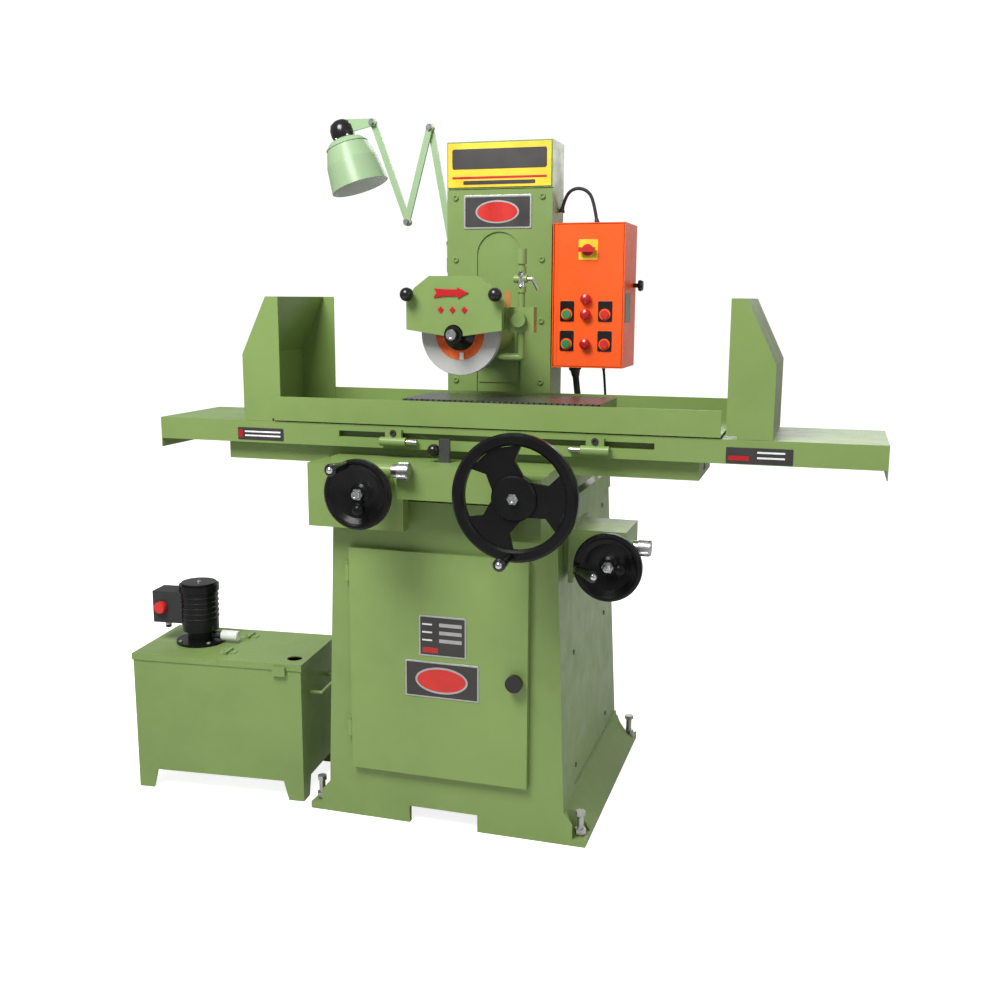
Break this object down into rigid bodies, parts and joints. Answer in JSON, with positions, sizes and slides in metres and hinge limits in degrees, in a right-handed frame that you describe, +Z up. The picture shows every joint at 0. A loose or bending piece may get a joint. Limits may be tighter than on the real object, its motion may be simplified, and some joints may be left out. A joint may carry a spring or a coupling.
{
  "type": "surface grinder",
  "caption": "Manual horizontal-spindle surface grinder on a cabinet base with reciprocating table, magnetic chuck, handwheels, work lamp, control box and a separate coolant tank",
  "frame": {"origin": "On the floor at the centre of the four anchor holes of the base", "axes": "+X to the right seen from the operator, +Y from the operator to the column, +Z up"},
  "size_m": [1.9077, 1.164, 1.8148],
  "materials": {
    "base_casting": "semi-gloss machine enamel",
    "levelling_bolts": "zinc-plated",
    "column_casting": "semi-gloss machine enamel",
    "column_cover": "semi-gloss machine enamel",
    "control_box_shell": "semi-gloss",
    "motor_cable": "matt",
    "supply_cable": "matt",
    "signal_cable": "matt",
    "lamp_bracket": "semi-gloss machine enamel",
    "tank_body": "semi-gloss machine enamel",
    "pump_motor": "semi-gloss enamel",
    "pump_fittings": "satin",
    "feed_housing": "semi-gloss machine enamel",
    "saddle_casting": "semi-gloss machine enamel",
    "traverse_case": "semi-gloss machine enamel",
    "cross_feed_case": "semi-gloss machine enamel",
    "table_casting": "semi-gloss machine enamel",
    "wing_covers": "semi-gloss machine enamel",
    "splash_tray": "semi-gloss machine enamel",
    "left_guard": "semi-gloss machine enamel",
    "right_guard": "semi-gloss machine enamel",
    "magnetic_chuck": "ground",
    "left_dog": "semi-gloss machine enamel",
    "right_dog": "semi-gloss machine enamel",
    "stop_lever": "machined",
    "traverse_handwheel": "gloss enamel, bright rim",
    "traverse_shaft": "machined",
    "traverse_handle": "glossy",
    "cross_handwheel": "gloss enamel, bright rim",
    "cross_feed_screw": "machined",
    "cross_handle": "glossy",
    "cross_fine_knob": "polished",
    "feed_handwheel": "gloss enamel, bright rim",
    "feed_shaft": "machined",
    "feed_handle": "glossy",
    "feed_fine_knob": "polished",
    "cross_drive_shaft": "machined",
    "rear_drive_shaft": "machined",
    "elevating_screw": "machined",
    "wheelhead": "semi-gloss machine enamel",
    "head_motor": "semi-gloss enamel",
    "wheel_guard": "semi-gloss machine enamel",
    "coolant_pipe": "semi-gloss machine enamel",
    "valve_lever": "polished",
    "spindle": "machined",
    "grinding_wheel": "abrasive, rough",
    "cabinet_door": "semi-gloss machine enamel",
    "door_knob": "glossy",
    "control_box_door": "semi-gloss",
    "isolator_switch": "glossy",
    "start_button_high": "glossy",
    "start_button_low": "glossy",
    "stop_button_high": "glossy",
    "stop_button_low": "glossy",
    "lamp_swivel": "satin enamel",
    "lamp_lower_arm": "satin enamel",
    "lamp_middle_arm": "satin enamel",
    "lamp_upper_arm": "satin enamel",
    "lamp_shade": "satin enamel",
    "tank_lid": "semi-gloss machine enamel"
  },
  "bodies": {
    "machine": {"base_casting": "base_casting", "levelling_bolts": "levelling_bolts", "column_casting": "column_casting", "column_cover": "column_cover", "control_box_shell": "control_box_shell", "motor_cable": "motor_cable", "supply_cable": "supply_cable", "signal_cable": "signal_cable", "lamp_bracket": "lamp_bracket", "tank_body": "tank_body", "pump_motor": "pump_motor", "pump_fittings": "pump_fittings", "feed_housing": "feed_housing"},
    "saddle": {"saddle_casting": "saddle_casting", "traverse_case": "traverse_case", "cross_feed_case": "cross_feed_case"},
    "table": {"table_casting": "table_casting", "wing_covers": "wing_covers", "splash_tray": "splash_tray", "left_guard": "left_guard", "right_guard": "right_guard", "magnetic_chuck": "magnetic_chuck"},
    "left_dog": {"left_dog": "left_dog"},
    "right_dog": {"right_dog": "right_dog"},
    "stop_lever": {"stop_lever": "stop_lever"},
    "traverse_wheel": {"traverse_handwheel": "traverse_handwheel", "traverse_shaft": "traverse_shaft"},
    "traverse_handle": {"traverse_handle": "traverse_handle"},
    "cross_wheel": {"cross_handwheel": "cross_handwheel", "cross_feed_screw": "cross_feed_screw"},
    "cross_handle": {"cross_handle": "cross_handle"},
    "cross_fine_knob": {"cross_fine_knob": "cross_fine_knob"},
    "feed_wheel": {"feed_handwheel": "feed_handwheel", "feed_shaft": "feed_shaft"},
    "feed_handle": {"feed_handle": "feed_handle"},
    "feed_fine_knob": {"feed_fine_knob": "feed_fine_knob"},
    "cross_drive_shaft": {"cross_drive_shaft": "cross_drive_shaft"},
    "rear_drive_shaft": {"rear_drive_shaft": "rear_drive_shaft"},
    "elevating_screw": {"elevating_screw": "elevating_screw"},
    "head": {"wheelhead": "wheelhead", "head_motor": "head_motor", "wheel_guard": "wheel_guard", "coolant_pipe": "coolant_pipe"},
    "valve_lever": {"valve_lever": "valve_lever"},
    "spindle": {"spindle": "spindle", "grinding_wheel": "grinding_wheel"},
    "cabinet_door": {"cabinet_door": "cabinet_door"},
    "door_knob": {"door_knob": "door_knob"},
    "control_door": {"control_box_door": "control_box_door"},
    "isolator_switch": {"isolator_switch": "isolator_switch"},
    "start_button_high": {"start_button_high": "start_button_high"},
    "start_button_low": {"start_button_low": "start_button_low"},
    "stop_button_high": {"stop_button_high": "stop_button_high"},
    "stop_button_low": {"stop_button_low": "stop_button_low"},
    "lamp_swivel": {"lamp_swivel": "lamp_swivel"},
    "lamp_lower_arm": {"lamp_lower_arm": "lamp_lower_arm"},
    "lamp_middle_arm": {"lamp_middle_arm": "lamp_middle_arm"},
    "lamp_upper_arm": {"lamp_upper_arm": "lamp_upper_arm"},
    "lamp_shade": {"lamp_shade": "lamp_shade"},
    "tank_lid": {"tank_lid": "tank_lid"}
  },
  "joints": [
    {"name": "saddle_slide", "type": "slide", "parent": "machine", "child": "saddle", "axis": [0, 1, 0], "range_m": [-0.175, 0.022]},
    {"name": "table_slide", "type": "slide", "parent": "saddle", "child": "table", "axis": [1, 0, 0], "range_m": [-0.285, 0.07]},
    {"name": "head_slide", "type": "slide", "parent": "machine", "child": "head", "axis": [0, 0, 1], "range_m": [-0.055, 0.09]},
    {"name": "traverse_wheel_turn", "type": "hinge", "parent": "saddle", "child": "traverse_wheel", "pos_m": [0.246, -0.592, 0.9], "axis": [0, 1, 0], "range_deg": [-615, 165]},
    {"name": "cross_wheel_turn", "type": "hinge", "parent": "saddle", "child": "cross_wheel", "pos_m": [-0.127, -0.571, 0.884], "axis": [0, 1, 0], "range_deg": [-12700, 1700]},
    {"name": "feed_wheel_turn", "type": "hinge", "parent": "machine", "child": "feed_wheel", "pos_m": [0.408, -0.37, 0.709], "axis": [0, 1, 0], "range_deg": [-4100, 2550]},
    {"name": "cross_drive_turn", "type": "hinge", "parent": "machine", "child": "cross_drive_shaft", "pos_m": [0.25, -0.215, 0.709], "axis": [1, 0, 0], "range_deg": [-2550, 4100]},
    {"name": "rear_drive_turn", "type": "hinge", "parent": "machine", "child": "rear_drive_shaft", "pos_m": [0.09, 0, 0.709], "axis": [0, 1, 0], "range_deg": [-4100, 2550]},
    {"name": "elevating_turn", "type": "hinge", "parent": "machine", "child": "elevating_screw", "pos_m": [0.09, 0.169, 1.1], "axis": [0, 0, 1], "range_deg": [-4100, 2550]},
    {"name": "traverse_handle_turn", "type": "hinge", "parent": "traverse_wheel", "child": "traverse_handle", "pos_m": [0.23938, -0.65, 0.77367], "axis": [0, 1, 0], "continuous": true},
    {"name": "cross_handle_turn", "type": "hinge", "parent": "cross_wheel", "child": "cross_handle", "pos_m": [-0.15011, -0.63, 0.95113], "axis": [0, 1, 0], "continuous": true},
    {"name": "feed_handle_fold", "type": "hinge", "parent": "feed_wheel", "child": "feed_handle", "pos_m": [0.33717, -0.389, 0.70405], "axis": [0, 0, 1], "range_deg": [-41, 15]},
    {"name": "cross_fine_turn", "type": "hinge", "parent": "saddle", "child": "cross_fine_knob", "pos_m": [-0.06, -0.4885, 0.928], "axis": [1, 0, 0], "continuous": true},
    {"name": "feed_fine_turn", "type": "hinge", "parent": "machine", "child": "feed_fine_knob", "pos_m": [0.48, -0.3355, 0.753], "axis": [1, 0, 0], "continuous": true},
    {"name": "left_dog_slide", "type": "slide", "parent": "table", "child": "left_dog", "axis": [1, 0, 0], "range_m": [-0.12, 0]},
    {"name": "right_dog_slide", "type": "slide", "parent": "table", "child": "right_dog", "axis": [1, 0, 0], "range_m": [0, 0.09]},
    {"name": "stop_lever_turn", "type": "hinge", "parent": "saddle", "child": "stop_lever", "pos_m": [0.012, -0.377, 0.95], "axis": [0, 0, 1], "range_deg": [-40, 40]},
    {"name": "valve_turn", "type": "hinge", "parent": "head", "child": "valve_lever", "pos_m": [0.17, -0.207, 1.365], "axis": [1, 0, 0], "range_deg": [0, 90]},
    {"name": "spindle_turn", "type": "hinge", "parent": "head", "child": "spindle", "pos_m": [0, -0.1, 1.232], "axis": [0, 1, 0], "continuous": true},
    {"name": "cabinet_door_hinge", "type": "hinge", "parent": "machine", "child": "cabinet_door", "pos_m": [-0.244, -0.375, 0.427], "axis": [0, 0, 1], "range_deg": [-110, 0]},
    {"name": "door_knob_turn", "type": "hinge", "parent": "cabinet_door", "child": "door_knob", "pos_m": [0.194, -0.38, 0.414], "axis": [0, 1, 0], "range_deg": [0, 90]},
    {"name": "control_door_hinge", "type": "hinge", "parent": "machine", "child": "control_door", "pos_m": [0.161, 0.1005, 1.326], "axis": [0, 0, 1], "range_deg": [-95, 0]},
    {"name": "isolator_turn", "type": "hinge", "parent": "control_door", "child": "isolator_switch", "pos_m": [0.246, 0.09, 1.445], "axis": [0, 1, 0], "range_deg": [0, 90]},
    {"name": "start_button_high_press", "type": "slide", "parent": "control_door", "child": "start_button_high", "axis": [0, 1, 0], "range_m": [0, 0.004], "stiffness_N_per_m": 400, "springref_m": -0.002},
    {"name": "start_button_low_press", "type": "slide", "parent": "control_door", "child": "start_button_low", "axis": [0, 1, 0], "range_m": [0, 0.004], "stiffness_N_per_m": 400, "springref_m": -0.002},
    {"name": "stop_button_high_press", "type": "slide", "parent": "control_door", "child": "stop_button_high", "axis": [0, 1, 0], "range_m": [0, 0.004], "stiffness_N_per_m": 400, "springref_m": -0.002},
    {"name": "stop_button_low_press", "type": "slide", "parent": "control_door", "child": "stop_button_low", "axis": [0, 1, 0], "range_m": [0, 0.004], "stiffness_N_per_m": 400, "springref_m": -0.002},
    {"name": "lamp_swivel_turn", "type": "hinge", "parent": "machine", "child": "lamp_swivel", "pos_m": [-0.168, 0.195, 1.44], "axis": [0, 0, 1], "range_deg": [-60, 60]},
    {"name": "lamp_lower_pivot", "type": "hinge", "parent": "lamp_swivel", "child": "lamp_lower_arm", "pos_m": [-0.168, 0.195, 1.47], "axis": [0, 1, 0], "range_deg": [-45, 5]},
    {"name": "lamp_middle_pivot", "type": "hinge", "parent": "lamp_lower_arm", "child": "lamp_middle_arm", "pos_m": [-0.227, 0.19, 1.782], "axis": [0, 1, 0], "range_deg": [-5, 40]},
    {"name": "lamp_upper_pivot", "type": "hinge", "parent": "lamp_middle_arm", "child": "lamp_upper_arm", "pos_m": [-0.297, 0.19, 1.53], "axis": [0, 1, 0], "range_deg": [-30, 8]},
    {"name": "lamp_shade_pivot", "type": "hinge", "parent": "lamp_upper_arm", "child": "lamp_shade", "pos_m": [-0.399, 0.19, 1.803], "axis": [0, 1, 0], "range_deg": [0, 40]},
    {"name": "tank_lid_hinge", "type": "hinge", "parent": "machine", "child": "tank_lid", "pos_m": [-0.64029, -0.22825, 0.384], "axis": [-0.0924, 0.9957, 0], "range_deg": [-95, 0]}
  ],
  "couplings": [
    {"joint": "traverse_wheel_turn", "follows": "table_slide", "rad_per_m": 37.037},
    {"joint": "cross_wheel_turn", "follows": "saddle_slide", "rad_per_m": 1256.6},
    {"joint": "feed_wheel_turn", "follows": "head_slide", "rad_per_m": -785.4},
    {"joint": "cross_drive_turn", "follows": "head_slide", "rad_per_m": 785.4},
    {"joint": "rear_drive_turn", "follows": "head_slide", "rad_per_m": -785.4},
    {"joint": "elevating_turn", "follows": "head_slide", "rad_per_m": -785.4}
  ]
}
